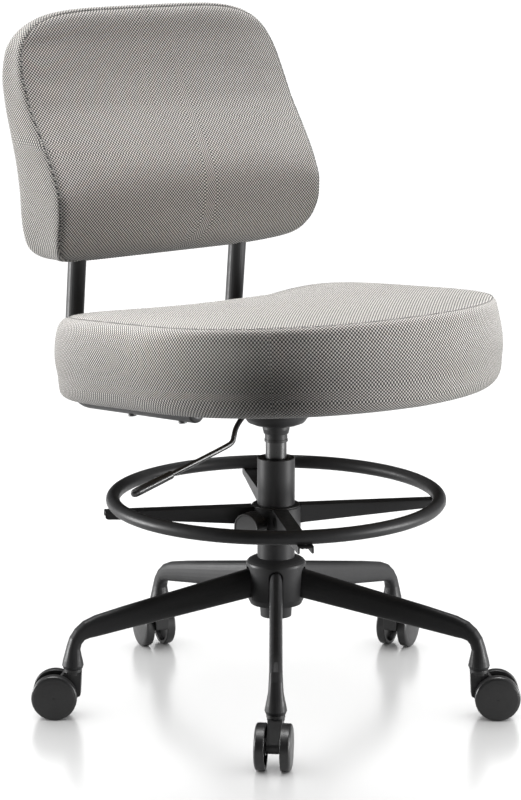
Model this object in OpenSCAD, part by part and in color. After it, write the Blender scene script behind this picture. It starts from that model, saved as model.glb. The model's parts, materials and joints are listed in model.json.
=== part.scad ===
// Drafting chair: padded seat and back on a swivelling gas lift, a sliding foot ring and a
// five-legged base on twin-wheel casters.
// Millimetres. The origin is on the floor under the column; the sitter faces -Y, left is +X.

/* [Base] */
// distance from the column axis to each caster stem
stem_circle = 281; // [240:1:320]
// turn of the base: the angle of leg 1
star_turn = -128; // [-180:1:180]
// width of one leg
leg_width = 17; // [14:0.5:22]
// outer diameter of the hub where the legs meet it
hub_od = 80; // [76:1:90]
// height of the top of the hub
hub_top = 195.5; // [190:0.5:200]

/* [Casters] */
// wheel diameter
wheel_d = 60; // [50:1:62]
// width of one wheel
wheel_width = 14.2; // [12:0.1:16]
// gap from the stem axis to the wheel axle
caster_trail = 24; // [20:0.5:26]
// width of the caster's centre block
block_width = 18.6; // [16:0.1:22]
// stem diameter
stem_d = 10.9; // [10:0.1:11]
// direction each caster trails in, legs 1 to 5
caster_turns = [-134, -38, 28, 76, 142]; // [-180:1:180]

/* [Column] */
// outer diameter of the column tube
column_od = 50; // [48:1:54]
// height of the top of the column tube
column_top = 331; // [320:1:345]
// gas cylinder diameter
cylinder_d = 28; // [26:0.5:30]
// height of the bottom of the gas cylinder with the seat at its lowest
cylinder_low = 150; // [145:1:160]

/* [Foot ring] */
// radius of the ring's centre line
ring_radius = 217; // [200:1:225]
// diameter of the ring tube
ring_tube_d = 18.5; // [16:0.5:20]
// height of the ring's centre line
ring_height = 276; // [270:1:282]
// angle of the first of the four arms
arm_turn = -118.5; // [-180:0.5:180]
// width of an arm
arm_width = 20; // [16:1:26]
// outer diameter of the collar
collar_od = 66; // [64:1:70]
// direction the clamp knob points in
knob_turn = -163.5; // [-180:0.5:180]
// diameter of the clamp knob
knob_d = 40; // [30:1:42]

/* [Seat] */
// seat width
seat_width = 512; // [480:1:560]
// seat depth
seat_depth = 523; // [490:1:540]
// how far the middle of the seat is in front of the column
seat_forward = 44; // [30:1:50]
// height of the underside of the seat over the column
seat_bottom = 423.5; // [420:0.5:430]
// slope of the seat, front up, in degrees
seat_tilt = 4.7; // [0:0.1:6]
// thickness of the padding up to the top seam
seat_thick = 114; // [90:1:120]
// depth of the hollow at the back of the seat
seat_scoop = 24; // [0:1:28]

/* [Back] */
// width of the back
back_width = 444; // [400:1:460]
// height of the lower edge of the back
back_low = 572; // [565:1:576]
// height of the upper edge of the back
back_high = 913; // [900:1:925]
// distance between the two back posts
post_spacing = 272; // [240:1:290]
// post tube diameter
post_d = 25; // [22:0.5:28]
// wall of the steel tubes
tube_wall = 2; // [1.5:0.1:3]

/* [Show] */
// which piece to draw

/* [Hidden] */
$fn = 48;
legs = [0:4];
leg_pitch = 72;
steel = [0.13, 0.13, 0.135];
nylon = [0.15, 0.15, 0.155];
bright = [0.62, 0.62, 0.63];
cloth = [0.71, 0.68, 0.65];
ply = [0.62, 0.5, 0.36];
run = 0.05;
stem_top = 91.5;
socket_low = 66;
axle_z = wheel_d / 2;
axle_r = 3;
hub_foot = 132;
column_foot = 114;
column_r = column_od / 2;
column_in = column_r - tube_wall;
cyl_r = cylinder_d / 2;
cavity_low = cylinder_low + 20;
cavity_high = 360;
cylinder_high = 398;
piston_r = cyl_r - 2.08;
rod_r = 5;
bush_low = 250;
web_top = ring_height - ring_tube_d / 2;
collar_low = 220;
collar_high = 266;
collar_in = 27.05;
stud_z = 247;
stud_r = 4;
button_r = 4;
dish_r = 44.5;
pivot = [-34, 0, 406];
lever_r = 3.5;
post_r = post_d / 2;
lever_path = [
    [3, 0, 408], [-34, 0, 406], [-52, -6, 402], [-72, -16, 393], [-85.5, -24, 385.5],
    [-91.5, -28.5, 378], [-94.5, -30, 369.5], [-104, -30, 364.9], [-193, -30, 340.2],
    [-252, -30, 323.8]
];
grip_from = lever_path[8];
grip_to = lever_path[9];
// post: [backwards, up] corners, and the bend radius at each
post_path = [[-5, 408.27], [282.5, 384.63], [257, 640], [276, 776]];
post_bends = [0, 40, 60, 0];
// bolts through each rail, and through the plate, in the seat's own axes
rail_bolts = [26, 140];
// thickness of the washers between the rails and the seat board
rail_gap = 3;
plate_bolts = [65, 78];
// leg side view from the hub to the caster socket: upper edge, lower edge, half width
leg_stations = [
    [[36, 181.9], [36, 141.6], 1], [[90, 170.2], [90, 132.6], 1], [[150, 157.2], [150, 122.6], 1],
    [[210, 144.2], [210, 112.8], 1], [[250, 134.6], [250, 106], 1], [[266, 128], [258, 105], 1],
    [[277, 118.5], [265, 103], 1.03], [[284.5, 107.5], [269.3, 98], 1.08],
    [[288.5, 96], [271, 91.5], 1.16], [[291.5, 85], [269.8, 84.5], 1.33],
    [[294, 77], [268, 77], 1.53], [[295.3, 70], [266.7, 70], 1.68], [[293.6, 66], [268.4, 66], 1.48]
];
// back: [height, front face, rear face], both measured backwards from the column
back_faces = [
    [560, 262, 283], [572, 262, 283], [592, 204, 287], [616, 186, 281], [643, 176, 280],
    [674, 176, 281], [708, 192, 288], [742, 214, 299], [780, 241, 312], [821, 262, 322],
    [865, 280, 324], [913, 293, 312], [930, 293, 312]
];
back_mid = (back_low + back_high) / 2;

// ---- helpers ----

// closed solid through rings that all have the same number of points
module loft(rings) {
    n = len(rings[0]);
    m = len(rings);
    polyhedron(
        points = [for (ring = rings) for (p = ring) p],
        faces = concat(
            [[for (i = [0:n - 1]) i]],
            [for (j = [0:m - 2]) for (i = [0:n - 1])
                [j * n + i, (j + 1) * n + i, (j + 1) * n + (i + 1) % n, j * n + (i + 1) % n]],
            [[for (i = [n - 1:-1:0]) (m - 1) * n + i]]
        )
    );
}

function oval(a, b, power, i, n) =
    let (c = cos(360 * i / n), s = sin(360 * i / n))
    [a * sign(c) * pow(abs(c), 2 / power), b * sign(s) * pow(abs(s), 2 / power)];

function unit(v) = v / norm(v);

// closed solid through rings whose last joins the first, for a tube: out along the outside
// and back along the bore
module loft_loop(rings) {
    n = len(rings[0]);
    m = len(rings);
    polyhedron(
        points = [for (ring = rings) for (p = ring) p],
        faces = [for (j = [0:m - 1]) for (i = [0:n - 1])
            let (up = (j + 1) % m)
            [j * n + i, up * n + i, up * n + (i + 1) % n, j * n + (i + 1) % n]]
    );
}

function heading(path, i) =
    atan2(path[i + 1].y - path[i].y, path[i + 1].x - path[i].x);

// [point, angle] stations along a flat path with round bends
function stations(path, bends) = [for (i = [0:len(path) - 1])
    for (s = i == 0 ? [[path[0], heading(path, 0)]]
        : i == len(path) - 1 ? [[path[i], heading(path, i - 1)]]
        : let (
            a = heading(path, i - 1),
            turn = heading(path, i) - a,
            cut = bends[i] * tan(abs(turn) / 2),
            start = path[i] - cut * [cos(a), sin(a)],
            centre = start + sign(turn) * bends[i] * [-sin(a), cos(a)],
            steps = ceil(abs(turn) / 11)
        )
        [for (k = [0:steps])
            let (b = a + turn * k / steps)
            [centre - sign(turn) * bends[i] * [-sin(b), cos(b)], b]])
    s];

function tube_ring(s, r) = [for (i = [0:23])
    [
        s[0].x - r * cos(15 * i) * sin(s[1]),
        s[0].y + r * cos(15 * i) * cos(s[1]),
        r * sin(15 * i)
    ]];

module at_leg(k) {
    rotate([0, 0, star_turn + leg_pitch * k])
        children();
}

// caster 1 is under leg 1, and the others follow the legs round
module at_caster(k) {
    rotate([0, 0, star_turn + leg_pitch * k])
        translate([stem_circle, 0, 0])
            rotate([0, 0, caster_turns[k] - star_turn - leg_pitch * k])
                children();
}

module at_seat() {
    translate([0, 0, seat_bottom])
        rotate([-seat_tilt, 0, 0])
            children();
}

// ---- base ----

module hub_blank() {
    r = hub_od / 2;
    rotate_extrude($fn = 96)
        polygon([
            [0, hub_foot], [r - 5.5, hub_foot], [r - 2, hub_foot + 8], [r, hub_top - 9],
            [r - 0.8, hub_top - 6.5], [r - 3, hub_top - 4], [r - 7, hub_top - 1.8],
            [column_r + 1, hub_top], [0, hub_top]
        ]);
}

module base_hub() {
    color(steel)
        difference() {
            hub_blank();
            rotate_extrude($fn = 96)
                polygon([
                    [0, column_foot], [20.75, column_foot], [column_r, hub_top],
                    [column_r, hub_top + 5], [0, hub_top + 5]
                ]);
            for (k = legs)
                at_leg(k) {
                    translate([36, -leg_width / 2 - 0.75, 130])
                        cube([12, leg_width + 1.5, 45]);
                    translate([36, 0, 175])
                        rotate([0, 90, 0])
                            cylinder(r = leg_width / 2 + 0.75, h = 12);
                }
        }
}

module leg() {
    n = 28;
    rings = [for (s = leg_stations)
        let (
            mid = (s[0] + s[1]) / 2,
            half = (s[0] - s[1]) / 2,
            grow = (s[2] - 1) / 0.68,
            power = 2.7 - 0.7 * min(1, max(0, grow))
        )
        [for (i = [0:n - 1])
            let (q = oval(1, leg_width / 2 * s[2], power, i, n))
            [mid.x + half.x * q.x, -q.y, mid.y + half.y * q.x]]];
    difference() {
        loft(rings);
        translate([stem_circle, 0, socket_low - 5])
            cylinder(d = stem_d + 2 * run, h = stem_top - socket_low + 7);
    }
}

module leg_1() {
    color(steel) at_leg(0) leg();
}

module leg_2() {
    color(steel) at_leg(1) leg();
}

module leg_3() {
    color(steel) at_leg(2) leg();
}

module leg_4() {
    color(steel) at_leg(3) leg();
}

module leg_5() {
    color(steel) at_leg(4) leg();
}

module column_tube() {
    color(steel)
        rotate_extrude($fn = 96)
            polygon([
                [rod_r + run, column_foot], [20.75, column_foot], [column_r, hub_top],
                [column_r, column_top - 0.8], [column_r - 0.8, column_top],
                [column_in, column_top], [column_in, hub_top], [18, 120], [rod_r + run, 120]
            ]);
}

module guide_bush() {
    color(nylon)
        difference() {
            rotate_extrude($fn = 96)
                polygon([
                    [cyl_r + run, bush_low], [column_in, bush_low], [column_in, column_top - 1],
                    [cyl_r + 2.5, column_top - 1], [cyl_r + run, column_top - 3.5]
                ]);
            for (a = [0:60:300])
                rotate([0, 0, a])
                    translate([19.2, 0, column_top - 6])
                        cylinder(d = 3.6, h = 8);
        }
}

module piston_rod() {
    color(bright)
        rotate_extrude($fn = 64)
            polygon([
                [0, 110], [rod_r, 110], [rod_r, 125.1], [7, 125.1], [7, 129], [rod_r, 129],
                [rod_r, 310], [piston_r, 310], [piston_r, 335], [0, 335]
            ]);
}

module thrust_bearing() {
    color(bright)
        rotate_extrude($fn = 64)
            polygon([[rod_r + run, 120], [11, 120], [11, 125], [rod_r + run, 125]]);
}

module retaining_clip() {
    color(bright)
        rotate_extrude($fn = 64)
            polygon([[rod_r, 111.5], [9, 111.5], [9, 113.7], [rod_r, 113.7]]);
}

// ---- casters, drawn on their own stem axis and trailing towards +X ----

module caster_stem() {
    color(bright)
        translate([0, 0, 45])
            cylinder(d = stem_d, h = stem_top - 45);
}

module caster_body() {
    color(nylon)
        difference() {
            union() {
                translate([0, block_width / 2, 0])
                    rotate([90, 0, 0])
                        linear_extrude(block_width)
                            union() {
                                polygon([
                                    [-11.5, 61.5], [-10, 31], [-8.5, 29], [20, axle_z - 8.1],
                                    [31, axle_z + 5.6], [20, 50], [11.5, 61.5]
                                ]);
                                translate([caster_trail, axle_z])
                                    circle(r = 9);
                            }
                translate([0, 0, 57.5])
                    cylinder(r = 11.2, h = 5);
                translate([0, 0, 61.5])
                    cylinder(r = 12, h = 3.9);
            }
            translate([0, 0, 45])
                cylinder(d = stem_d, h = 30);
            translate([caster_trail, 20, axle_z])
                rotate([90, 0, 0])
                    cylinder(r = axle_r, h = 40);
        }
}

module caster_axle() {
    color(bright)
        translate([caster_trail, block_width / 2 + 12.2, axle_z])
            rotate([90, 0, 0])
                cylinder(r = axle_r, h = block_width + 24.4);
}

// side is 1 or -1
module caster_wheel(side) {
    r = wheel_d / 2;
    w = wheel_width;
    color(nylon)
        translate([caster_trail, side * (block_width / 2 + 0.5), axle_z])
            rotate([side > 0 ? -90 : 90, 0, 0])
                rotate_extrude($fn = 96)
                    polygon([
                        [axle_r + run, 0], [11, 0], [11, 7], [r - 4.5, 7], [r - 4.5, 0],
                        [r - 0.6, 0], [r, 0.6], [r, w - 3.6], [r - 0.7, w - 2.5],
                        [r - 2.2, w - 1.6], [r - 3, w - 1.5], [r - 3.6, w - 1.1], [r - 10, w - 0.5],
                        [r - 20, w - 0.1], [0, w], [0, 12], [axle_r + run, 12]
                    ]);
}

module caster_1_stem() {
    at_caster(0) caster_stem();
}

module caster_1_body() {
    at_caster(0) caster_body();
}

module caster_1_axle() {
    at_caster(0) caster_axle();
}

module caster_1_wheel_a() {
    at_caster(0) caster_wheel(1);
}

module caster_1_wheel_b() {
    at_caster(0) caster_wheel(-1);
}

module caster_2_stem() {
    at_caster(1) caster_stem();
}

module caster_2_body() {
    at_caster(1) caster_body();
}

module caster_2_axle() {
    at_caster(1) caster_axle();
}

module caster_2_wheel_a() {
    at_caster(1) caster_wheel(1);
}

module caster_2_wheel_b() {
    at_caster(1) caster_wheel(-1);
}

module caster_3_stem() {
    at_caster(2) caster_stem();
}

module caster_3_body() {
    at_caster(2) caster_body();
}

module caster_3_axle() {
    at_caster(2) caster_axle();
}

module caster_3_wheel_a() {
    at_caster(2) caster_wheel(1);
}

module caster_3_wheel_b() {
    at_caster(2) caster_wheel(-1);
}

module caster_4_stem() {
    at_caster(3) caster_stem();
}

module caster_4_body() {
    at_caster(3) caster_body();
}

module caster_4_axle() {
    at_caster(3) caster_axle();
}

module caster_4_wheel_a() {
    at_caster(3) caster_wheel(1);
}

module caster_4_wheel_b() {
    at_caster(3) caster_wheel(-1);
}

module caster_5_stem() {
    at_caster(4) caster_stem();
}

module caster_5_body() {
    at_caster(4) caster_body();
}

module caster_5_axle() {
    at_caster(4) caster_axle();
}

module caster_5_wheel_a() {
    at_caster(4) caster_wheel(1);
}

module caster_5_wheel_b() {
    at_caster(4) caster_wheel(-1);
}

// ---- foot ring ----

module ring_bushes() {
    color(nylon) {
        rotate_extrude($fn = 96)
            polygon([
                [column_r + run, collar_low - 1.8], [collar_od / 2 - 2, collar_low - 1.8],
                [collar_od / 2 - 2, collar_low - 0.1], [collar_in - run, collar_low - 0.1],
                [collar_in - run, 236], [column_r + run, 236]
            ]);
        rotate_extrude($fn = 96)
            polygon([
                [column_r + run, 253], [collar_in - run, 253], [collar_in - run, collar_high + 0.1],
                [collar_od / 2 - 0.8, collar_high + 0.1], [collar_od / 2 - 0.8, collar_high + 1.2],
                [collar_od / 2 - 1.8, collar_high + 2], [column_r + run, collar_high + 2]
            ]);
    }
}

module ring_collar() {
    color(steel)
        difference() {
            union() {
                rotate_extrude($fn = 96)
                    polygon([
                        [collar_in, collar_low], [collar_od / 2 - 1, collar_low],
                        [collar_od / 2, collar_low + 1], [collar_od / 2, collar_high - 1],
                        [collar_od / 2 - 1, collar_high], [collar_in, collar_high]
                    ]);
                rotate([0, 0, knob_turn])
                    translate([30, 0, stud_z])
                        rotate([0, 90, 0])
                            cylinder(r = 9, h = 8);
            }
            rotate([0, 0, knob_turn])
                translate([20, 0, stud_z])
                    rotate([0, 90, 0])
                        cylinder(r = stud_r + run, h = 30);
            translate([0, 0, collar_low + 1])
                cylinder(r = collar_in, h = collar_high - collar_low - 2, $fn = 96);
        }
}

module foot_ring() {
    color(steel)
        difference() {
            rotate_extrude($fn = 128)
                translate([ring_radius, ring_height])
                    difference() {
                        circle(d = ring_tube_d);
                        circle(d = ring_tube_d - 3);
                    }
            for (a = [0:90:270])
                rotate([0, 0, arm_turn + a])
                    translate([ring_radius, 0, web_top - 4])
                        cylinder(d = 5, h = 8);
        }
}

// an upside-down channel from the collar to just past the ring
module ring_arm(k) {
    far = ring_radius + ring_tube_d / 2 + 3;
    color(steel)
        rotate([0, 0, arm_turn + 90 * k])
            difference() {
                translate([0, arm_width / 2, 0])
                    rotate([90, 0, 0])
                        linear_extrude(arm_width)
                            polygon([
                                [30, web_top - 1], [31, web_top], [far - 1, web_top], [far, web_top - 1],
                                [far, web_top - 8], [far - 3, web_top - 10], [ring_radius - 16, web_top - 11],
                                [38, web_top - 23.5], [30, web_top - 24.5]
                            ]);
                translate([20, -arm_width / 2 + 2, web_top - 40])
                    cube([far, arm_width - 4, 37.8]);
                translate([0, 0, 200])
                    cylinder(d = collar_od, h = 100, $fn = 96);
                translate([ring_radius, 0, web_top - 6])
                    cylinder(d = 5, h = 12);
            }
}

module ring_arm_1() {
    ring_arm(0);
}

module ring_arm_2() {
    ring_arm(1);
}

module ring_arm_3() {
    ring_arm(2);
}

module ring_arm_4() {
    ring_arm(3);
}

module arm_screws() {
    color(bright)
        for (a = [0:90:270])
            rotate([0, 0, arm_turn + a])
                translate([ring_radius, 0, 0]) {
                    translate([0, 0, web_top - 2.2])
                        cylinder(d = 5, h = 5);
                    translate([0, 0, web_top - 5.4])
                        cylinder(d = 9, h = 3.2);
                }
}

module knob_stud() {
    color(bright)
        rotate([0, 0, knob_turn])
            translate([column_r + 0.3, 0, stud_z])
                rotate([0, 90, 0])
                    cylinder(r = stud_r, h = 34);
}

module knob() {
    r = knob_d / 2;
    color(nylon)
        rotate([0, 0, knob_turn])
            translate([47, 0, stud_z])
                rotate([0, 90, 0])
                    difference() {
                        rotate_extrude($fn = 96)
                            polygon([
                                [stud_r + run, -5.5], [9.5, -5.5], [10.5, -4.5], [10.5, 0],
                                [r - 1.6, 0.4], [r, 2.2], [r, 19.6], [r - 0.4, 20.8], [r - 1.4, 21.4],
                                [r - 2.4, 21.2], [r - 3.6, 20.6], [0, 20.6], [0, 15], [stud_r + run, 15]
                            ]);
                        for (a = [0:15:345])
                            rotate([0, 0, a])
                                translate([r + 0.9, 0, 3.4])
                                    cylinder(r = 1.3, h = 8);
                    }
}

// ---- gas lift and frame under the seat ----

module gas_cylinder() {
    color(steel)
        rotate_extrude($fn = 96)
            polygon([
                [rod_r + run, cylinder_low], [cyl_r - 1, cylinder_low], [cyl_r, cylinder_low + 1],
                [cyl_r, cylinder_high - 2], [cyl_r - 2, cylinder_high], [button_r + run, cylinder_high],
                [button_r + run, cylinder_high - 14], [0, cylinder_high - 14], [0, cavity_high],
                [cyl_r - 2, cavity_high], [cyl_r - 2, cavity_low], [rod_r + run, cavity_low]
            ]);
}

module valve_button() {
    color(bright)
        translate([0, 0, 388])
            cylinder(r = button_r, h = 16);
}

module taper_socket() {
    color(steel)
        rotate_extrude($fn = 96)
            polygon([
                [cyl_r, 353], [cyl_r + 1.6, 353], [cyl_r + 1.6, 356], [cyl_r + 1, 357],
                [cyl_r + 1, 364], [cyl_r + 2.6, 364], [18, 370], [18, 396], [cyl_r, 396]
            ]);
}

module seat_plate() {
    color(steel)
        difference() {
            union() {
                at_seat()
                    translate([-75, -90, -2.5])
                        cube([150, 180, 2.5]);
                difference() {
                    rotate_extrude($fn = 96)
                        polygon([
                            [18, 377], [31, 377], [38, 380], [42.5, 386], [dish_r, 394], [dish_r, 430],
                            [dish_r - 2.5, 430], [dish_r - 2.5, 394], [40.5, 387.5], [36.5, 382.2],
                            [30.5, 379.5], [18, 379.5]
                        ]);
                    at_seat()
                        translate([-80, -80, -1])
                            cube([160, 160, 40]);
                }
                for (side = [-1, 1])
                    difference() {
                        translate([pivot.x - 6, side * 15 - 1.5, 398])
                            cube([14, 3, 28]);
                        at_seat()
                            translate([-80, -80, -1])
                                cube([160, 160, 40]);
                    }
            }
            translate([pivot.x, 40, pivot.z])
                rotate([90, 0, 0])
                    cylinder(r = 3 + run, h = 80);
            translate([-60, -14, 392])
                cube([25, 20, 20]);
            at_seat()
                for (x = [-plate_bolts.x, plate_bolts.x])
                    for (y = [-plate_bolts.y, plate_bolts.y])
                        translate([x, y, -5])
                            cylinder(d = 6, h = 10);
        }
}

function seat_outline(grow) = [for (i = [0:63])
    let (
        s = sin(360 * i / 64),
        q = oval(seat_width / 2 + grow, seat_depth / 2 + grow, s < 0 ? 2.25 : 4.7, i, 64)
    )
    [q.x, q.y - seat_forward]];

module seat_board() {
    color(ply)
        at_seat()
            difference() {
                linear_extrude(12)
                    polygon(seat_outline(-34));
                for (x = [-1, 1]) {
                    for (y = rail_bolts)
                        translate([x * post_spacing / 2, y, -1])
                            cylinder(d = 6, h = 10.3);
                    for (y = [-plate_bolts.y, plate_bolts.y])
                        translate([x * plate_bolts.x, y, -1])
                            cylinder(d = 6, h = 10);
                }
            }
}

function scoop_at(p) =
    let (a = abs(p.x) / 172, b = (p.y - 205) / 114)
    seat_scoop * exp(-a * a * a - b * b);

// one level of the seat's padding: height, growth of the outline, share of the hollow
function seat_ring(height, grow, share) = [for (p = seat_outline(grow))
    [p.x, p.y, height - share * scoop_at(p)]];

// lower edge, rounder at the sides than in front and behind
function seat_foot(a) = [for (i = [0:63])
    let (
        r = 13 + 15 * pow(abs(cos(360 * i / 64)), 0.8),
        p = seat_outline(-r * (1 - sin(a)))[i]
    )
    [p.x, p.y, r * (1 - cos(a))]];

module seat_cushion() {
    top = seat_thick;
    color(cloth)
        at_seat()
            difference() {
                loft(concat(
                    [for (a = [0, 25, 50, 72, 90]) seat_foot(a)],
                    [
                        seat_ring(44, 4, 0), seat_ring(62, 5, 0.1), seat_ring(80, 3.6, 0.3),
                        seat_ring(top - 17, 0, 0.6), seat_ring(top - 8, -1.3, 0.8),
                        seat_ring(top - 2, -4.4, 0.95), seat_ring(top, -7.5, 1),
                        seat_ring(top + 2.5, -17, 1), seat_ring(top + 5, -30, 1),
                        seat_ring(top + 7.5, -55, 1), seat_ring(top + 9, -85, 1),
                        seat_ring(top + 9.7, -125, 1)
                    ]
                ));
                translate([0, 0, -5])
                    linear_extrude(17.2)
                        polygon(seat_outline(-34));
            }
}

module post(side) {
    line = stations(post_path, post_bends);
    last = len(line) - 1;
    color(steel)
        difference() {
            translate([side * post_spacing / 2, 0, 0])
                rotate([90, 0, 90])
                    loft_loop(concat(
                        [for (s = line) tube_ring(s, post_r)],
                        [for (i = [last:-1:0]) tube_ring(line[i], post_r - tube_wall)]
                    ));
            at_seat()
                for (y = rail_bolts)
                    translate([side * post_spacing / 2, y, -post_d - rail_gap - 5])
                        cylinder(d = 6, h = post_d + rail_gap + 10);
        }
}

module post_left() {
    post(1);
}

module post_right() {
    post(-1);
}

module rail_plugs() {
    a = atan2(post_path[1].y - post_path[0].y, post_path[1].x - post_path[0].x);
    color(nylon)
        for (side = [-1, 1])
            translate([side * post_spacing / 2, post_path[0].x, post_path[0].y])
                rotate([a, 0, 0])
                    rotate([90, 0, 0])
                        rotate_extrude($fn = 48)
                            polygon([
                                [0, -12], [post_r - tube_wall - 0.2, -12], [post_r - tube_wall - 0.2, 0],
                                [post_r, 0], [post_r - 0.4, 1.6], [post_r - 2, 3.4], [post_r - 6, 4.6], [0, 5]
                            ]);
}

// bolts up through the rails with the washers above the rails, and screws through the plate
module frame_bolts() {
    color(bright)
        at_seat() {
            for (side = [-1, 1])
                for (y = rail_bolts)
                    translate([side * post_spacing / 2, y, -post_d - rail_gap - 2.7])
                        union() {
                            cylinder(d = 11, h = 2.6);
                            cylinder(d = 6, h = post_d + rail_gap + 12);
                        }
            for (side = [-1, 1])
                for (y = rail_bolts)
                    translate([side * post_spacing / 2, y, -rail_gap])
                        difference() {
                            cylinder(d = 18, h = rail_gap - 0.02);
                            translate([0, 0, -1])
                                cylinder(d = 6.2, h = rail_gap + 2);
                        }
            for (x = [-plate_bolts.x, plate_bolts.x])
                for (y = [-plate_bolts.y, plate_bolts.y])
                    translate([x, y, -5.5])
                        union() {
                            cylinder(d = 11, h = 3);
                            cylinder(d = 6, h = 14.5);
                        }
        }
}

// ---- back ----

function face_at(z, side) =
    let (
        i = max([for (j = [0:len(back_faces) - 2]) back_faces[j][0] <= z ? j : 0]),
        p = back_faces[i],
        q = back_faces[i + 1],
        t = (z - p[0]) / (q[0] - p[0])
    )
    p[side] + (q[side] - p[side]) * t;

// one slice of the back, up the rear face and down the front, as [across, backwards, up] points
function back_slice(x, m) =
    let (
        w = back_width / 2,
        t = min(1, abs(x) / w),
        half = (back_high - back_low) / 2,
        up = half * max(0.35, pow(max(0, 1 - pow(t, 4.8)), 1 / 4.8)),
        down = half * max(0.35, pow(max(0, 1 - pow(t, 6.6)), 1 / 6.6)),
        ramp = max(0, min(1, (abs(x) - w + 14) / 14)),
        thin = 0.7 + 0.3 * sqrt(1 - ramp * ramp)
    )
    [for (i = [0:2 * m - 1])
        let (
            k = i <= m ? i : 2 * m - i,
            rise = -cos(180 * k / m),
            high = rise < 0 ? down : up,
            z = back_mid + high * rise,
            near = max(0, min(1, 1 - high * (1 - abs(rise)) / 14)),
            edge = sqrt(1 - near * near),
            front = face_at(z, 1),
            rear = face_at(z, 2),
            out = (i <= m ? 1 : -1) * thin * edge
        )
        [x, (front + rear) / 2 + (rear - front) / 2 * out, z]];

module back_blank() {
    w = back_width / 2;
    spots = [-1, -0.985, -0.95, -0.89, -0.81, -0.7, -0.5];
    all = concat([for (t = spots) t * w], [0], [for (i = [len(spots) - 1:-1:0]) -spots[i] * w]);
    loft([for (x = all) back_slice(x, 20)]);
}

module back_board() {
    lean = atan2(post_path[3].x - post_path[2].x, post_path[3].y - post_path[2].y);
    color(ply)
        translate([0, post_path[2].x, post_path[2].y])
            rotate([-lean, 0, 0])
                translate([-165, -post_r - 8, -18])
                    cube([330, 8, 150]);
}

module back_cushion() {
    lean = atan2(post_path[3].x - post_path[2].x, post_path[3].y - post_path[2].y);
    color(cloth)
        difference() {
            back_blank();
            translate([0, post_path[2].x, post_path[2].y])
                rotate([-lean, 0, 0])
                    translate([-165, -post_r - 8, -18])
                        cube([330, 8, 150]);
            for (side = [-1, 1])
                for (end = [post_path[1], post_path[3]])
                    translate([side * post_spacing / 2, post_path[2].x, post_path[2].y])
                        rotate([atan2(end.y - post_path[2].y, end.x - post_path[2].x) - 90, 0, 0])
                            translate([0, 0, -3])
                                cylinder(d = post_d + 2.4, h = min(148, norm(end - post_path[2]) + 5));
        }
}

// ---- height lever ----

function corner_arc(p, q, s, n) = [for (i = [0:n]) let (t = i / n)
    (1 - t) * (1 - t) * (p + q) / 2 + 2 * t * (1 - t) * q + t * t * (q + s) / 2];

module lever_rod() {
    n = 16;
    line = concat(
        [lever_path[0]],
        [for (k = [1:len(lever_path) - 2]) for (p = corner_arc(
            lever_path[k - 1], lever_path[k], lever_path[k + 1], 3)) p],
        [lever_path[len(lever_path) - 1]]
    );
    path = [for (i = [0:len(line) - 1]) if (i == 0 || norm(line[i] - line[i - 1]) > 0.5) line[i]];
    last = len(path) - 1;
    rings = [for (i = [0:last])
        let (
            t = unit(path[min(last, i + 1)] - path[max(0, i - 1)]),
            a = unit(cross(t, [0, 1, 0])),
            b = cross(t, a)
        )
        [for (j = [0:n - 1])
            path[i] + lever_r * (cos(360 * j / n) * a + sin(360 * j / n) * b)]];
    color(steel)
        union() {
            loft(rings);
            translate([pivot.x, 18, pivot.z])
                rotate([90, 0, 0])
                    cylinder(r = 3, h = 36);
        }
}

module lever_grip() {
    d = unit(grip_to - grip_from);
    span = norm(grip_to - grip_from);
    color(nylon)
        translate(grip_from)
            rotate([0, acos(d.z), atan2(d.y, d.x)])
                rotate_extrude($fn = 48)
                    polygon([
                        [lever_r, 0], [5, 0], [5.4, 0.8], [5.8, span - 6], [5.4, span - 1],
                        [4.2, span + 2], [2.2, span + 3.6], [0, span + 4], [0, span], [lever_r, span]
                    ]);
}

base_hub();
leg_1();
leg_2();
leg_3();
leg_4();
leg_5();
column_tube();
guide_bush();
piston_rod();
thrust_bearing();
retaining_clip();
caster_1_stem();
caster_1_body();
caster_1_axle();
caster_1_wheel_a();
caster_1_wheel_b();
caster_2_stem();
caster_2_body();
caster_2_axle();
caster_2_wheel_a();
caster_2_wheel_b();
caster_3_stem();
caster_3_body();
caster_3_axle();
caster_3_wheel_a();
caster_3_wheel_b();
caster_4_stem();
caster_4_body();
caster_4_axle();
caster_4_wheel_a();
caster_4_wheel_b();
caster_5_stem();
caster_5_body();
caster_5_axle();
caster_5_wheel_a();
caster_5_wheel_b();
ring_bushes();
ring_collar();
foot_ring();
ring_arm_1();
ring_arm_2();
ring_arm_3();
ring_arm_4();
arm_screws();
knob_stud();
knob();
gas_cylinder();
taper_socket();
seat_plate();
seat_board();
seat_cushion();
post_left();
post_right();
rail_plugs();
frame_bolts();
back_board();
back_cushion();
valve_button();
lever_rod();
lever_grip();
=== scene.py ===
import json
import math

import bmesh
import bpy
import numpy as np
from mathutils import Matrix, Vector
from mathutils.kdtree import KDTree


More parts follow.
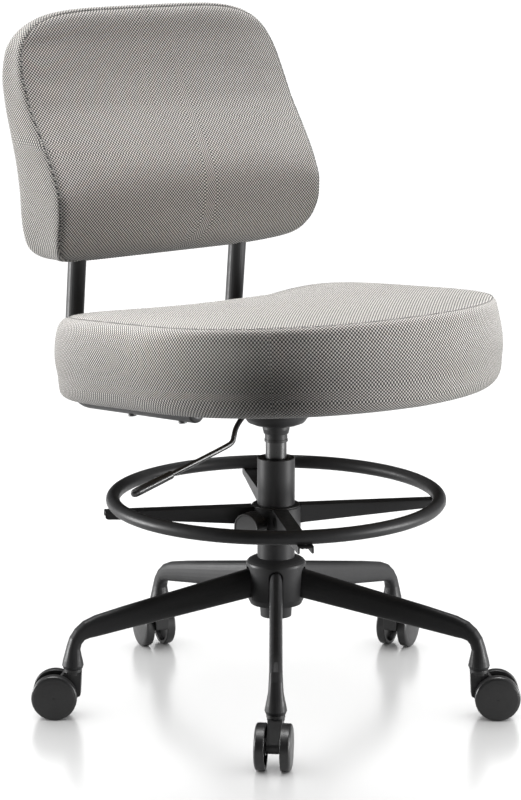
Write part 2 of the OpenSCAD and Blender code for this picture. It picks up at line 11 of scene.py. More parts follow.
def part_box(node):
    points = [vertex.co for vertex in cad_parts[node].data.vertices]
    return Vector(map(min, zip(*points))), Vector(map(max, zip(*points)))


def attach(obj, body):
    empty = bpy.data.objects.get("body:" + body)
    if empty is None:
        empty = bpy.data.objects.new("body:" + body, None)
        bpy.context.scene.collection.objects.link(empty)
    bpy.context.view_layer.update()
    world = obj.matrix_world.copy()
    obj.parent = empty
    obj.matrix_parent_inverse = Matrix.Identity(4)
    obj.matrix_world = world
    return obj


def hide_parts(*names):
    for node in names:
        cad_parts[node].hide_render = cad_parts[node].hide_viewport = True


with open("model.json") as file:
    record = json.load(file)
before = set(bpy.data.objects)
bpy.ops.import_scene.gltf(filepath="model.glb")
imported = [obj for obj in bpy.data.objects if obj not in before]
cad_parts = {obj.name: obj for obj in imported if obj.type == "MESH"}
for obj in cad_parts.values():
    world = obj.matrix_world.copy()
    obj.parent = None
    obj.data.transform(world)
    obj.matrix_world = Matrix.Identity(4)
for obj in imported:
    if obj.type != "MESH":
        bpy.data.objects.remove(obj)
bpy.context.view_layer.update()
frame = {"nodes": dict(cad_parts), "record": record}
nodes = frame["nodes"]
scene = bpy.context.scene

SEAT_TILT = math.radians(4.7)
VIEW_TURN = math.radians(38)     # the camera looks from this far round the sitter's front
PRESSURE = 4.0                   # of the stuffing on the cloth
PUFF_CAP = 0.0040                # how far the stuffed cloth may swell
STITCH_RADIUS, STITCH_PITCH = 0.00055, 0.0042


# ---- camera ----

def make_camera():
    data = bpy.data.cameras.new("camera")
    data.sensor_width = 36.0
    data.lens = 130.2
    data.clip_start, data.clip_end = 0.05, 200.0
    cam = bpy.data.objects.new("camera", data)
    scene.collection.objects.link(cam)
    side = Vector((math.cos(VIEW_TURN), -math.sin(VIEW_TURN), 0))
    away = Vector((math.sin(VIEW_TURN), math.cos(VIEW_TURN), 0))
    yaw, pitch = -0.00553, 0.20267
    flat = side * math.sin(yaw) + away * math.cos(yaw)
    look = flat * math.cos(pitch) + Vector((0, 0, -math.sin(pitch)))
    cam.location = away * -3.7469 + Vector((0, 0, 1.1783))
    cam.rotation_mode = "QUATERNION"
    cam.rotation_quaternion = look.to_track_quat("-Z", "Y")
    scene.camera = cam


make_camera()


# ---- materials ----

class Net:
    """A material's node tree, with short calls for the nodes used here."""

    def __init__(self, name):
        self.mat = bpy.data.materials.new(name)
        self.mat.use_nodes = True
        self.tree = self.mat.node_tree
        self.bsdf = self.tree.nodes["Principled BSDF"]

    def add(self, kind, **sockets):
        n = self.tree.nodes.new("ShaderNode" + kind)
        for key, value in sockets.items():
            self.put(n.inputs[key.replace("_", " ")], value)
        return n

    def put(self, socket, value):
        if isinstance(value, bpy.types.NodeSocket):
            self.tree.links.new(value, socket)
        else:
            socket.default_value = value

    def math(self, op, a, b=None, c=None, clamp=False):
        n = self.tree.nodes.new("ShaderNodeMath")
        n.operation, n.use_clamp = op, clamp
        for i, v in enumerate((a, b, c)):
            if v is not None:
                self.put(n.inputs[i], v)
        return n.outputs[0]

    def mix(self, fac, a, b, blend="MIX"):
        n = self.tree.nodes.new("ShaderNodeMix")
        n.data_type, n.blend_type = "RGBA", blend
        self.put(n.inputs[0], fac)
        self.put(n.inputs[6], a)
        self.put(n.inputs[7], b)
        return n.outputs[2]

    def span(self, value, lo, hi, to_lo, to_hi):
        n = self.add("MapRange", Value=value, From_Min=lo, From_Max=hi, To_Min=to_lo, To_Max=to_hi)
        return n.outputs[0]

    def noise(self, where, scale, detail=3.0, rough=0.55):
        n = self.add("TexNoise", Vector=where, Scale=scale, Detail=detail, Roughness=rough)
        return n.outputs["Fac"]

    def place(self):
        return self.add("TexCoord").outputs["Object"]

    def bump(self, height, strength, distance, normal=None):
        n = self.add("Bump", Height=height, Strength=strength, Distance=distance)
        if normal is not None:
            self.put(n.inputs["Normal"], normal)
        return n.outputs["Normal"]

    def set(self, **values):
        for key, value in values.items():
            self.put(self.bsdf.inputs[key.replace("_", " ")], value)


def grey(v, tint=(1.0, 1.0, 1.0)):
    return (v * tint[0], v * tint[1], v * tint[2], 1.0)


def hard_finish(name, dark, light, rough, grain=900.0, grain_bump=0.12, cloud=14.0, metallic=0.0,
                tint=(1.0, 1.0, 1.03), coat=0.0, edge=0.0, specular=0.5, streak=None):
    """Paint, nylon or steel: cloudy tone, fine grain, scuffs in the gloss and a soft orange peel.

    edge lightens worn edges, and streak stretches the grain along an axis.
    """
    m = Net(name)
    where = where_fine = m.place()
    if streak:
        mapped = m.add("Mapping", Vector=where)
        mapped.inputs["Scale"].default_value = streak
        where_fine = mapped.outputs[0]
    clouds = m.noise(where, cloud, 4.0, 0.6)
    fine = m.noise(where_fine, grain, 2.0, 0.5)
    scuffs = m.noise(where_fine, grain * 0.12, 5.0, 0.7)
    tone = m.math("ADD", m.math("MULTIPLY", clouds, 0.65), m.math("MULTIPLY", fine, 0.35))
    colour = m.mix(m.span(tone, 0.35, 0.65, 0.0, 1.0), grey(dark, tint), grey(light, tint))
    normal = None
    if edge:
        soft = m.add("Bevel", Radius=0.0012)
        soft.samples = 4
        sharp = m.add("NewGeometry").outputs["Normal"]
        dot = m.tree.nodes.new("ShaderNodeVectorMath")
        dot.operation = "DOT_PRODUCT"
        m.put(dot.inputs[0], soft.outputs[0])
        m.put(dot.inputs[1], sharp)
        worn = m.span(dot.outputs["Value"], 0.99, 0.82, 0.0, edge)
        colour = m.mix(m.math("MULTIPLY", worn, m.span(scuffs, 0.4, 0.6, 0.2, 1.0)), colour,
                       grey(light * 3.2, tint))
        normal = soft.outputs[0]
    m.set(Base_Color=colour, Metallic=metallic, Coat_Weight=coat)
    m.set(Roughness=m.span(scuffs, 0.3, 0.7, rough - 0.05, rough + 0.07))
    m.bsdf.inputs["Specular IOR Level"].default_value = specular
    if coat:
        m.bsdf.inputs["Coat Roughness"].default_value = 0.18
    peel = m.math("ADD", m.math("MULTIPLY", fine, 0.6), m.math("MULTIPLY", scuffs, 0.4))
    m.set(Normal=m.bump(peel, grain_bump, 0.0004, normal))
    return m.mat


def woven(name, light=0.60, dark=0.030, cell=0.0023):
    """Basket weave: an off-white warp and a charcoal weft, cell by cell, on the piece's weave map."""
    m = Net(name)
    uv = m.add("UVMap")
    uv.uv_map = "weave"
    where = m.place()
    warp = m.add("TexNoise", Vector=where, Scale=90.0, Detail=2.0)
    shift = m.tree.nodes.new("ShaderNodeVectorMath")
    shift.operation = "MULTIPLY_ADD"
    m.put(shift.inputs[0], warp.outputs["Color"])
    shift.inputs[1].default_value = (0.0003, 0.0003, 0.0)
    m.put(shift.inputs[2], uv.outputs[0])
    parts = m.add("SeparateXYZ", Vector=shift.outputs[0])
    u = m.math("DIVIDE", parts.outputs[0], cell)
    v = m.math("DIVIDE", parts.outputs[1], cell)
    iu, iv = m.math("FLOOR", u), m.math("FLOOR", v)
    fu, fv = m.math("FRACT", u), m.math("FRACT", v)
    odd = m.math("FLOORED_MODULO", m.math("ADD", iu, iv), 2.0)
    su = m.math("SINE", m.math("MULTIPLY", fu, math.pi))
    sv = m.math("SINE", m.math("MULTIPLY", fv, math.pi))
    over = m.math("MULTIPLY", m.math("POWER", su, 0.55), m.math("MULTIPLY_ADD", sv, 0.45, 0.55))
    under = m.math("MULTIPLY", m.math("POWER", sv, 0.55), m.math("MULTIPLY_ADD", su, 0.45, 0.50))
    height = m.math("ADD", m.math("MULTIPLY", over, m.math("SUBTRACT", 1.0, odd)),
                    m.math("MULTIPLY", under, odd))
    cell_id = m.add("CombineXYZ", X=iu, Y=iv)
    rand = m.add("TexWhiteNoise", Vector=cell_id.outputs[0])
    rand.noise_dimensions = "2D"
    # fibres run along each yarn
    along = m.add("CombineXYZ", X=m.math("MULTIPLY", u, 5.0), Y=m.math("MULTIPLY", v, 0.9))
    across = m.add("CombineXYZ", X=m.math("MULTIPLY", u, 0.9), Y=m.math("MULTIPLY", v, 5.0))
    fibre_a = m.noise(along.outputs[0], 1.0, 3.0, 0.6)
    fibre_b = m.noise(across.outputs[0], 1.0, 3.0, 0.6)
    pale = m.mix(rand.outputs["Value"], (light * 0.97, light * 0.92, light * 0.86, 1.0),
                 (light * 1.06, light * 1.03, light * 0.98, 1.0))
    pale = m.mix(m.span(fibre_a, 0.35, 0.7, 0.0, 0.22), pale, grey(light * 0.55, (1.0, 0.95, 0.9)))
    deep = m.mix(rand.outputs["Value"], grey(dark * 0.8), grey(dark * 1.3, (1.0, 1.0, 1.05)))
    deep = m.mix(m.span(fibre_b, 0.4, 0.75, 0.0, 0.4), deep, grey(dark * 2.6))
    yarn = m.mix(odd, pale, deep)
    clouds = m.noise(where, 9.0, 3.0, 0.5)
    yarn = m.mix(1.0, yarn, m.mix(clouds, grey(0.93), grey(1.05)), "MULTIPLY")
    # painted shade: the yarn colour is darkened where the weave's height is low, in the gaps between and
    # under the yarns
    painted_gap_shade = m.span(height, 0.15, 0.75, 0.25, 1.0)
    shade = m.add("CombineXYZ", X=painted_gap_shade, Y=painted_gap_shade, Z=painted_gap_shade)
    m.set(Base_Color=m.mix(1.0, yarn, shade.outputs[0], "MULTIPLY"))
    m.set(Roughness=m.span(rand.outputs["Value"], 0.0, 1.0, 0.78, 0.92))
    m.bsdf.inputs["Specular IOR Level"].default_value = 0.25
    m.bsdf.inputs["Sheen Weight"].default_value = 0.18
    m.bsdf.inputs["Sheen Roughness"].default_value = 0.45
    rough_height = m.math("ADD", height, m.math("MULTIPLY", fibre_a, 0.12))
    m.set(Normal=m.bump(rough_height, 0.55, 0.0009))
    return m.mat


def thread_finish(name):
    """Twisted sewing thread."""
    m = Net(name)
    where = m.place()
    twist = m.add("TexWave", Vector=where, Scale=420.0, Distortion=3.0, Detail=2.0)
    fuzz = m.noise(where, 1500.0, 3.0)
    m.set(Base_Color=m.mix(twist.outputs["Fac"], grey(0.10), grey(0.24, (1.0, 0.96, 0.92))))
    m.set(Roughness=m.span(fuzz, 0.3, 0.7, 0.62, 0.8))
    m.set(Normal=m.bump(twist.outputs["Fac"], 0.4, 0.0003))
    return m.mat


def ply_finish(name):
    """Raw plywood, with its grain along the board and its layers across."""
    m = Net(name)
    where = m.place()
    mapped = m.add("Mapping", Vector=where)
    mapped.inputs["Scale"].default_value = (6.0, 60.0, 260.0)
    grain = m.noise(mapped.outputs[0], 3.0, 5.0, 0.65)
    pores = m.noise(where, 700.0, 2.0)
    m.set(Base_Color=m.mix(m.span(grain, 0.3, 0.7, 0.0, 1.0), grey(0.42, (1.0, 0.74, 0.48)),
                           grey(0.62, (1.0, 0.80, 0.56))))
    m.set(Roughness=m.span(pores, 0.3, 0.7, 0.55, 0.72))
    m.set(Normal=m.bump(m.math("ADD", grain, m.math("MULTIPLY", pores, 0.4)), 0.3, 0.0004))
    return m.mat


finishes = {
    "black_steel": hard_finish("black_steel", 0.0240, 0.0330, 0.42, 1100.0, 0.10, 11.0, edge=0.35,
                               specular=0.20),
    "cylinder_steel": hard_finish("cylinder_steel", 0.012, 0.018, 0.30, 1300.0, 0.06, 20.0,
                                  specular=0.55, streak=(1.0, 1.0, 0.12)),
    "lever_steel": hard_finish("lever_steel", 0.006, 0.010, 0.20, 900.0, 0.04, 30.0, coat=0.4,
                               specular=0.6),
    "black_nylon": hard_finish("black_nylon", 0.0085, 0.0130, 0.46, 700.0, 0.16, 25.0, edge=0.25,
                               specular=0.45),
    "wheel_nylon": hard_finish("wheel_nylon", 0.0105, 0.0160, 0.38, 800.0, 0.12, 25.0, edge=0.25,
                               specular=0.5),
    "grip_plastic": hard_finish("grip_plastic", 0.007, 0.012, 0.26, 500.0, 0.05, 40.0, coat=0.3,
                                specular=0.5),
    "bright_steel": hard_finish("bright_steel", 0.46, 0.60, 0.24, 900.0, 0.05, 30.0, metallic=1.0,
                                streak=(1.0, 1.0, 0.1)),
    "black_bolts": hard_finish("black_bolts", 0.010, 0.020, 0.34, 1200.0, 0.08, 60.0, edge=0.3,
                               specular=0.6),
    "plywood": ply_finish("plywood"),
}
fabric = woven("fabric")
thread = thread_finish("seam_thread")

slot_of = {s["node"]: s["material_slot"] for s in frame["record"]["subparts"]}
for name, obj in nodes.items():
    mat = finishes.get(slot_of[name], fabric)
    for slot in obj.material_slots:
        slot.material = mat
    if not obj.material_slots:
        obj.data.materials.append(mat)


# ---- mesh helpers ----

def new_mesh(name, points, faces, material, uv=None, smooth=True):
    mesh = bpy.data.meshes.new(name)
    mesh.from_pydata([tuple(p) for p in np.asarray(points, float)], [], faces)
    mesh.update()
    if uv is not None:
        layer = mesh.uv_layers.new(name="weave")
        layer.data.foreach_set("uv", np.asarray(uv, np.float32).ravel())
    mesh.polygons.foreach_set("use_smooth", [smooth] * len(mesh.polygons))
    obj = bpy.data.objects.new(name, mesh)
    scene.collection.objects.link(obj)
    mesh.materials.append(material)
    return obj


def signed_power(v, p):
    return np.sign(v) * np.abs(v) ** p


def coons(edge, n):
    """A square grid of points inside a closed loop of 4n points, in two dimensions."""
    bottom, right = edge[0:n + 1], edge[n:2 * n + 1]
    top, left = edge[2 * n:3 * n + 1][::-1], np.vstack([edge[3 * n:], edge[:1]])[::-1]
    s = np.linspace(0, 1, n + 1)[:, None, None]
    t = np.linspace(0, 1, n + 1)[None, :, None]
    grid = ((1 - t) * bottom[:, None] + t * top[:, None] + (1 - s) * left[None] + s * right[None]
            - (1 - s) * (1 - t) * bottom[0] - s * (1 - t) * bottom[n]
            - (1 - s) * t * top[0] - s * t * top[n])
    return grid


def border_index(n):
    """Grid indices (i, j) of a Coons grid's border, in the loop's order."""
    return ([(i, 0) for i in range(n)] + [(n, j) for j in range(n)]
            + [(n - i, n) for i in range(n)] + [(0, n - j) for j in range(n)])


class Pad:
    """A closed quad mesh: a front panel, a boxing strip of rings and a rear panel, with weave maps."""

    def __init__(self, n, front, rings, rear):
        # front and rear are (n+1, n+1, 3) grids whose borders are rings[0] and rings[-1]
        self.n = n
        loop = border_index(n)
        self.points, self.faces, self.panel = [], [], []
        ids = []
        for ring in rings:
            ids.append(list(range(len(self.points), len(self.points) + len(ring))))
            self.points += list(ring)
        self.ring_ids = ids
        for grid, ring, flip, tag in ((front, ids[0], False, 0), (rear, ids[-1], True, 2)):
            at = {}
            for k, ij in enumerate(loop):
                at[ij] = ring[k]
            for i in range(1, n):
                for j in range(1, n):
                    at[(i, j)] = len(self.points)
                    self.points.append(grid[i, j])
            for i in range(n):
                for j in range(n):
                    quad = [at[(i, j)], at[(i + 1, j)], at[(i + 1, j + 1)], at[(i, j + 1)]]
                    self.faces.append(quad[::-1] if flip else quad)
                    self.panel.append(tag)
        m = 4 * n
        for a, b in zip(ids, ids[1:]):
            for k in range(m):
                q = (k + 1) % m
                self.faces.append([a[k], b[k], b[q], a[q]])
                self.panel.append(1)
        self.points = np.array(self.points, float)


def puff(obj, held, stiff=18.0, frames=20):
    """Lets the cover swell like stuffed cloth round its held vertices, and keeps the result in the mesh."""
    group = obj.vertex_groups.new(name="held")
    group.add(held, 1.0, "REPLACE")
    start = vertex_values(obj.data, "co")
    cloth = obj.modifiers.new("puff", "CLOTH")
    c = cloth.settings
    c.quality, c.mass = 6, 0.3
    c.tension_stiffness = c.compression_stiffness = stiff
    c.shear_stiffness, c.bending_stiffness = stiff * 0.5, 2.0
    c.tension_damping = c.compression_damping = 8.0
    c.use_pressure, c.uniform_pressure_force = True, PRESSURE
    c.vertex_group_mass, c.pin_stiffness = "held", 1.0
    c.effector_weights.gravity = 0.0
    cloth.collision_settings.use_collision = False
    cloth.point_cache.frame_start, cloth.point_cache.frame_end = 1, frames
    for f in range(1, frames + 1):
        scene.frame_set(f)
    dg = bpy.context.evaluated_depsgraph_get()
    end = vertex_values(obj.evaluated_get(dg).data, "co")
    obj.modifiers.remove(cloth)
    scene.frame_set(1)
    move = end - start
    size = np.linalg.norm(move, axis=1, keepdims=True)
    move *= np.tanh(size / PUFF_CAP) * PUFF_CAP / np.maximum(size, 1e-9)
    print(obj.name, "puffed by up to", round(float(size.max()) * 1000, 1), "mm, kept",
          round(float(np.linalg.norm(move, axis=1).max()) * 1000, 1))
    obj.data.vertices.foreach_set("co", (start + move).ravel())
    obj.data.update()


def subdivide(obj):
    """Smooths the mesh once, for good."""
    mod = obj.modifiers.new("finer", "SUBSURF")
    mod.levels = mod.render_levels = 1
    mod.uv_smooth = "NONE"
    bpy.context.view_layer.objects.active = obj
    with bpy.context.temp_override(object=obj, active_object=obj, selected_objects=[obj]):
        bpy.ops.object.modifier_apply(modifier=mod.name)


def vertex_values(mesh, kind):
    """One row of three numbers for each vertex: its place (co) or its normal."""
    values = np.zeros(len(mesh.vertices) * 3)
    mesh.vertices.foreach_get(kind, values)
    return values.reshape(-1, 3)


def groove(obj, rings, depth, width):
    """Pulls the cover in along each seam, and returns the seam's points and outward normals."""
    mesh = obj.data
    co, nor = vertex_values(mesh, "co"), vertex_values(mesh, "normal")
    out = []
    moved = co.copy()
    for ring in rings:
        tree = KDTree(len(ring))
        for i, k in enumerate(ring):
            tree.insert(co[k], i)
        tree.balance()
        for k in range(len(co)):
            _, _, d = tree.find(co[k])
            if d < width * 3:
                moved[k] -= nor[k] * depth * math.exp(-(d / width) ** 2)
        out.append((co[ring] - nor[ring] * depth * 0.55, nor[ring]))
    mesh.vertices.foreach_set("co", moved.ravel())
    mesh.update()
    return out


def smooth_loop(points):
    p = np.array(points)
    for _ in range(2):
        p = 0.5 * p + 0.25 * (np.roll(p, 1, 0) + np.roll(p, -1, 0))
    return p


def stitches(name, seams, material):
    """A row of short thread stitches sunk along each seam, as one mesh."""
    radius = STITCH_RADIUS
    points, faces = [], []
    sides, rings = 6, 5
    for line, normals in seams:
        line = smooth_loop(line)
        step = np.linalg.norm(np.roll(line, -1, 0) - line, axis=1)
        total = float(step.sum())
        where = np.concatenate([[0], np.cumsum(step)])
        closed = np.vstack([line, line[:1]])
        closed_n = np.vstack([normals, normals[:1]])
        count = int(total / STITCH_PITCH)
        for s in range(count):
            ends = (s + 0.5 + np.linspace(-0.41, 0.41, rings)) * total / count
            path = np.stack([np.interp(ends, where, closed[:, a]) for a in range(3)], 1)
            out = np.stack([np.interp(ends, where, closed_n[:, a]) for a in range(3)], 1)
            out /= np.linalg.norm(out, axis=1, keepdims=True)
            along = path[-1] - path[0]
            along /= np.linalg.norm(along)
            side = np.cross(along, out)
            for r, t in enumerate(np.linspace(-1, 1, rings)):
                fat = radius * math.sqrt(max(0.12, 1 - t * t))
                centre = path[r] + out[r] * radius * (0.5 - 1.1 * t * t)
                for a in range(sides):
                    angle = 2 * math.pi * a / sides
                    points.append(centre + fat * (math.cos(angle) * side[r] + math.sin(angle) * out[r]))
            base = len(points) - rings * sides
            for r in range(rings - 1):
                for a in range(sides):
                    b = (a + 1) % sides
                    faces.append([base + r * sides + a, base + r * sides + b,
                                  base + (r + 1) * sides + b, base + (r + 1) * sides + a])
            faces.append([base + a for a in range(sides)][::-1])
            faces.append([base + (rings - 1) * sides + a for a in range(sides)])
    return new_mesh(name, points, faces, material)


def even_angles(shape, count, first):
    """Angles that cut a closed outline into equal steps, from angle first onwards."""
    dense = first + np.linspace(0, 2 * math.pi, 24001)
    p = shape(dense)
    step = np.concatenate([[0], np.cumsum(np.linalg.norm(np.diff(p, axis=0), axis=1))])
    return np.interp(np.arange(count) / count * step[-1], step, dense), step[-1]


# ---- seat ----

def seat_frame(p):
    """From the seat board's own axes to the row frame."""
    c, s = math.cos(SEAT_TILT), math.sin(SEAT_TILT)
    p = np.asarray(p, float)
    return np.stack([p[..., 0], p[..., 1] * c + p[..., 2] * s,
                     -p[..., 1] * s + p[..., 2] * c + seat_low], -1)


pad_low, pad_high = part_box("seat_cushion")
seat_low = 0.4235          # the board's underside over the column
seat_half_w = (pad_high.x - pad_low.x) / 2 - 0.005
seat_half_d = 0.2615
seat_forward = 0.044       # how far the seat's middle is in front of the column
seat_crown = 0.0100        # how much the middle of the seat stands above its edge


def seat_outline(angle, grow):
    """A rounded square, fuller in front (below, -Y) and squarer behind."""
    c, s = np.cos(angle), np.sin(angle)
    power = np.where(s < 0, 2 / 2.25, 2 / 4.7)
    return np.stack([(seat_half_w + grow) * signed_power(c, power),
                     (seat_half_d + grow) * signed_power(s, power) - seat_forward], -1)


def scoop(p):
    """The hollow in the middle of the seat's rear half."""
    return 0.024 * np.exp(-np.abs(p[..., 0] / 0.172) ** 3 - ((p[..., 1] - 0.205) / 0.114) ** 2)


def soft_edge(angle):
    """Share of the wide, soft upper edge: none in front, full at the rear half of the seat."""
    t = np.clip((np.sin(angle) + 0.55) / 0.6, 0, 1)
    return t * t * (3 - 2 * t)


def gap_to(loop, flat):
    """Distance of each flat point from a closed outline."""
    d = np.full(flat.shape[:-1], 9.0)
    for p in loop:
        d = np.minimum(d, np.hypot(flat[..., 0] - p[0], flat[..., 1] - p[1]))
    return d


def build_seat():
    n = 56
    angles, girth = even_angles(lambda a: seat_outline(a, 0), 4 * n, math.radians(-135))
    # the lower edge is rounder at the sides, more so toward the front corners than the rear ones
    lean = np.clip(np.sin(angles) / 0.6, -1, 1)
    lean = 1 - np.where(lean > 0, 0.75, 0.25) * lean
    foot = 0.013 + 0.015 * np.abs(np.cos(angles)) ** 0.8 * lean
    strip = [  # height over the board, growth of the outline, share of the hollow
        (0.1140, -0.0075, 1.0), (0.1126, -0.0049, 0.96), (0.1088, -0.0024, 0.88),
        (0.1030, -0.0008, 0.76), (0.0965, 0.0004, 0.6), (0.0880, 0.0021, 0.42),
        (0.0790, 0.0036, 0.28), (0.0700, 0.0045, 0.18), (0.0610, 0.0050, 0.1),
        (0.0520, 0.0047, 0.04), (0.0430, 0.0037, 0.0), (0.0350, 0.0019, 0.0)]
    softer = [  # inset and drop of the first rings where the upper edge is soft
        (0.0085, 0.0008), (0.0058, 0.0014), (0.0034, 0.0014), (0.0015, 0.0007), (0.0004, 0.0002)]
    loose = soft_edge(angles)
    rings = []
    for k, (z, grow, share) in enumerate(strip):
        # each ring is made a little small, because the pressure swells it out again
        small = 0.0022 * math.sin(math.pi * k / (len(strip) + 2)) ** 0.7
        inset, drop = softer[k] if k < len(softer) else (0, 0)
        flat = np.stack([seat_outline(a, grow - small - inset * w) for a, w in zip(angles, loose)])
        rings.append(np.column_stack([flat, z - share * scoop(flat) - drop * loose]))
    for a in np.radians([84, 66, 48, 32, 16, 0]):                 # round the lower edge
        flat = np.stack([seat_outline(t, -r * (1 - math.sin(a))) for t, r in zip(angles, foot)])
        rings.append(np.column_stack([flat, foot * (1 - math.cos(a))]))
    for z, grow in ((0.0, -0.0315), (0.0022, -0.0336), (0.0118, -0.0339)):    # up to the dust cover
        flat = seat_outline(angles, grow)
        rings.append(np.column_stack([flat, np.full(len(flat), z)]))
    top = coons(rings[0][:, :2], n)
    inside = gap_to(rings[0][:, :2], top)
    rise = (strip[0][0] + seat_crown * (1 - np.exp(-inside / 0.031)) - scoop(top)
            - 0.0022 * (1 - np.exp(-inside / 0.02)))
    turn = np.arctan2(top[..., 1] + seat_forward, top[..., 0])
    rise -= softer[0][1] * soft_edge(turn) * np.exp(-inside / 0.012)
    grid = np.concatenate([top, rise[..., None]], -1)
    under = coons(rings[-1][:, :2], n)
    under = np.concatenate([under, np.full(under.shape[:2] + (1,), 0.0124)], -1)
    pad = Pad(n, grid, rings, under)
    profile = np.zeros(len(rings))
    for k in range(1, len(rings)):
        profile[k] = profile[k - 1] - np.linalg.norm(rings[k] - rings[k - 1], axis=1).mean()
    m = 4 * n
    place = {}
    for r, ring in enumerate(pad.ring_ids):
        for k, v in enumerate(ring):
            place[v] = (k, profile[r])
    uv = []
    for face, tag in zip(pad.faces, pad.panel):
        if tag == 1:
            ks = [place[v][0] for v in face]
            wrap = max(ks) - min(ks) > 2
            for v in face:
                k = place[v][0] + (m if wrap and place[v][0] == 0 else 0)
                uv.append((k / m * girth + 0.4, place[v][1]))
        else:
            uv += [(pad.points[v][0], pad.points[v][1]) for v in face]
    obj = new_mesh("seat_pad", seat_frame(pad.points), pad.faces, fabric, uv)
    held = {v for ring in pad.ring_ids[-6:] + pad.ring_ids[:1] for v in ring}
    panels = set(range(len(pad.points))) - {v for ring in pad.ring_ids for v in ring}
    held |= {v for v in panels if pad.points[v][2] < 0.02}
    puff(obj, sorted(held))
    subdivide(obj)
    return obj, pad


seat_pad, seat_net = build_seat()


def refined_ring(obj, ring):
    """A ring of the coarse mesh, with the new vertices that subdividing put between its points."""
    bm = bmesh.new()
    bm.from_mesh(obj.data)
    bm.verts.ensure_lookup_table()
    out = []
    for k, a in enumerate(ring):
        b = ring[(k + 1) % len(ring)]
        out.append(a)
        near_a = {e.other_vert(bm.verts[a]).index for e in bm.verts[a].link_edges}
        near_b = {e.other_vert(bm.verts[b]).index for e in bm.verts[b].link_edges}
        both = near_a & near_b
        if both:
            out.append(both.pop())
    bm.free()
    return out


seat_ring = refined_ring(seat_pad, seat_net.ring_ids[0])
seat_seams = groove(seat_pad, [seat_ring], 0.0012, 0.0026)
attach(seat_pad, "seat")
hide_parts("seat_cushion")

seat_stitches = stitches("seat_seam_stitches", seat_seams, thread)
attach(seat_stitches, "seat")


# ---- back ----

back_low, back_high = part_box("back_cushion")
# the padding's side view in millimetres: height, and the front and rear faces' depth
face_table = np.array([
    [560, 262, 283], [572, 262, 283], [592, 204, 287], [616, 186, 281], [643, 176, 280],
    [674, 176, 281], [708, 192, 288], [742, 214, 299], [780, 241, 312], [821, 262, 322],
    [865, 280, 324], [913, 293, 312], [930, 293, 312]]) / 1000


def smooth_face(column):
    """Heights and depths of the front (1) or rear (2) face, with the table's corners smoothed."""
    z = np.linspace(face_table[0, 0], face_table[-1, 0], 600)
    y = np.interp(z, face_table[:, 0], face_table[:, column])
    reach = 20
    ext = np.concatenate([np.full(reach, y[0]), y, np.full(reach, y[-1])])
    kernel = np.exp(-np.linspace(-2, 2, 2 * reach + 1) ** 2)
    return z, np.convolve(ext, kernel / kernel.sum(), "valid")


front_line, rear_line = smooth_face(1), smooth_face(2)
back_half_w = (back_high.x - back_low.x) / 2
back_half_h = (back_high.z - back_low.z) / 2
back_centre = (back_high.z + back_low.z) / 2


def back_outline(angle, grow):
    """A rounded rectangle in the XZ plane, squarer below than above."""
    c, s = np.cos(angle), np.sin(angle)
    power = np.where(s > 0, 2 / 4.8, 2 / 6.6)
    return np.stack([(back_half_w + grow) * signed_power(c, power),
                     back_centre + (back_half_h + grow) * signed_power(s, power)], -1)


def build_back():
    n = 52
    angles, girth = even_angles(lambda a: back_outline(a, 0), 4 * n, math.radians(-135))
    seam_in = 0.0041
    edge = back_outline(angles, -seam_in)
    outer = back_outline(np.linspace(0, 2 * math.pi, 1500), 0)
    y_front, y_rear = np.interp(edge[:, 1], *front_line), np.interp(edge[:, 1], *rear_line)
    thick = y_rear - y_front
    edge_radius = 0.014
    rounding = np.minimum(edge_radius, thick / 2 * 0.98)
    rows = 15
    rings = []
    for r in range(rows):
        t = r / (rows - 1)
        t = 0.5 - 0.5 * math.cos(math.pi * t) * (0.75 + 0.25 * abs(math.cos(math.pi * t)))
        start = np.minimum(seam_in, rounding * 0.3)
        depth = start + (thick - 2 * start) * t
        close = np.minimum(np.minimum(depth, thick - depth), rounding)
        tuck = rounding - np.sqrt(np.maximum(0, rounding ** 2 - (rounding - close) ** 2))
        small = 0.0020 * math.sin(math.pi * t) ** 0.7
        flat = np.stack([back_outline(a, -u - small) for a, u in zip(angles, tuck)])
        if r in (0, rows - 1):
            flat = edge
        rings.append(np.column_stack([flat[:, 0], y_front + depth, flat[:, 1]]))

    def panel(line, sign):
        flat = coons(edge, n)
        e = np.minimum(gap_to(outer, flat), edge_radius)
        fall = edge_radius - np.sqrt(np.maximum(0, edge_radius ** 2 - (edge_radius - e) ** 2))
        inside = gap_to(edge, flat)
        y = np.interp(flat[..., 1], *line) + sign * (fall + 0.0020 * (1 - np.exp(-inside / 0.02)))
        return np.stack([flat[..., 0], y, flat[..., 1]], -1)

    front, rear = panel(front_line, 1), panel(rear_line, -1)
    pad = Pad(n, front, rings, rear)
    length = {}
    for tag, line in ((0, front_line), (2, rear_line)):
        step = np.hypot(np.diff(line[0]), np.diff(line[1]))
        length[tag] = np.concatenate([[0], np.cumsum(step)])
    m = 4 * n
    place = {v: k for ring in pad.ring_ids for k, v in enumerate(ring)}
    uv = []
    for face, tag in zip(pad.faces, pad.panel):
        if tag == 1:
            ks = [place[v] for v in face]
            wrap = max(ks) - min(ks) > 2
            for v in face:
                k = place[v] + (m if wrap and place[v] == 0 else 0)
                uv.append((k / m * girth + 0.7, pad.points[v][1]))
        else:
            for v in face:
                p = pad.points[v]
                uv.append((p[0] + tag, float(np.interp(p[2], front_line[0], length[tag]))))
    obj = new_mesh("back_pad", pad.points, pad.faces, fabric, uv)
    puff(obj, pad.ring_ids[0] + pad.ring_ids[-1])
    subdivide(obj)
    return obj, pad


back_pad, back_net = build_back()
back_rings = [refined_ring(back_pad, back_net.ring_ids[k]) for k in (0, -1)]
back_seams = groove(back_pad, back_rings, 0.0011, 0.0024)
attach(back_pad, "seat")
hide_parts("back_cushion")

back_stitches = stitches("back_seam_stitches", back_seams, thread)
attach(back_stitches, "seat")


# ---- stage and light ----

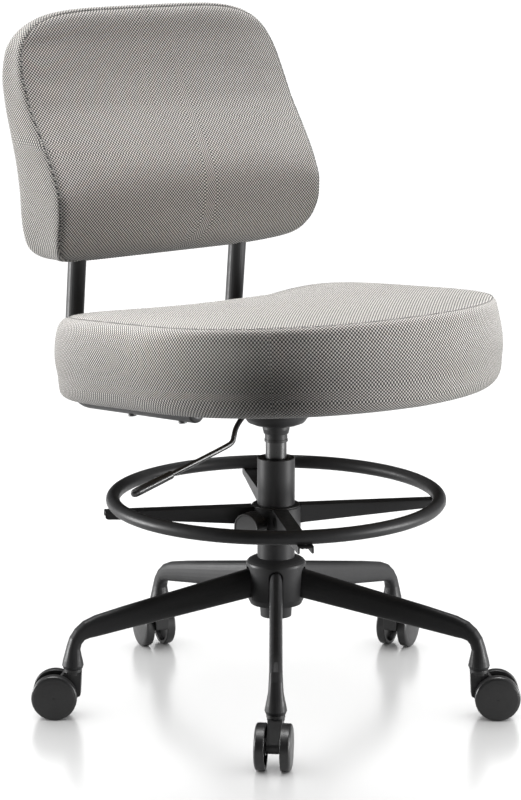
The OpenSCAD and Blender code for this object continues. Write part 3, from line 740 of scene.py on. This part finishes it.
def make_stage():
    m = Net("studio_floor")
    where = m.place()
    tone = m.noise(where, 0.8, 3.0, 0.5)
    m.set(Base_Color=m.mix(tone, grey(0.48), grey(0.50)))
    m.set(Roughness=m.span(m.noise(where, 30.0, 2.0), 0.3, 0.7, 0.250, 0.262))
    m.bsdf.inputs["Specular IOR Level"].default_value = 0.5
    s = 60.0
    floor = new_mesh("studio_floor", [(-s, -s, 0), (s, -s, 0), (s, s, 0), (-s, s, 0)],
                     [[0, 1, 2, 3]], m.mat, smooth=False)
    floor.location.z = -0.0004       # just clear of the wheels
    floor.visible_diffuse = False
    return floor


def area(name, place, aim, size, power):
    data = bpy.data.lights.new(name, "AREA")
    data.shape, data.size, data.size_y = "RECTANGLE", size[0], size[1]
    data.energy, data.spread = power, math.radians(180)
    lamp = bpy.data.objects.new(name, data)
    lamp.location = place
    lamp.rotation_mode = "QUATERNION"
    lamp.rotation_quaternion = (Vector(aim) - Vector(place)).to_track_quat("-Z", "Y")
    lamp.visible_camera = False
    scene.collection.objects.link(lamp)
    return lamp


def make_world():
    """Pale to look at above the floor's far edge, while it gives only a little light."""
    world = bpy.data.worlds.new("studio")
    scene.world = world
    world.use_nodes = True
    tree = world.node_tree
    sky = tree.nodes["Background"]
    sky.inputs[0].default_value = (1.0, 1.0, 1.0, 1.0)
    seen = tree.nodes.new("ShaderNodeLightPath")
    level = tree.nodes.new("ShaderNodeMapRange")
    level.inputs["To Min"].default_value = 0.055
    level.inputs["To Max"].default_value = 0.93
    tree.links.new(seen.outputs["Is Camera Ray"], level.inputs["Value"])
    tree.links.new(level.outputs["Result"], sky.inputs[1])


def sky_light(name, strength, angle, tilt):
    data = bpy.data.lights.new(name, "SUN")
    data.energy, data.angle = strength, math.radians(angle)
    lamp = bpy.data.objects.new(name, data)
    lamp.rotation_euler = [math.radians(t) for t in tilt]
    scene.collection.objects.link(lamp)
    return lamp


floor = make_stage()
make_world()
floor_wash = sky_light("floor_wash", 7.0, 150, (0, 0, 0))
chair_lamps = [
    sky_light("overhead", 7.9, 40, (-8, 5, 0)),
    area("left_box", (-1.97, 1.86, 0.36), (0, 0, 0.42), (1.1, 0.8), 130),
    area("right_box", (1.75, -2.05, 0.5), (0, 0, 0.5), (1.3, 0.9), 62),
    area("right_strip", (1.85, -1.95, 0.22), (0, 0, 0.42), (1.3, 0.4), 58),
]
backdrop = area("backdrop", (14.8, 18.9, 6.0), (0, 0, 5.0), (44.0, 12.0), 1100)
only_floor = bpy.data.collections.new("only_floor")
only_floor.objects.link(floor)
for lamp in (floor_wash, backdrop):
    lamp.light_linking.receiver_collection = only_floor


def keep_off(lamps, name, objects):
    """Flags the lamps off from these objects."""
    dark = bpy.data.collections.new(name)
    for obj in objects:
        dark.objects.link(obj)
    for entry in dark.collection_objects:
        entry.light_linking.link_state = "EXCLUDE"
    for lamp in lamps:
        lamp.light_linking.receiver_collection = dark


keep_off(chair_lamps[:3], "flag_floor", [floor])
keep_off(chair_lamps[3:], "flag_back", [floor, back_pad, back_stitches])

scene.view_settings.view_transform = "Standard"
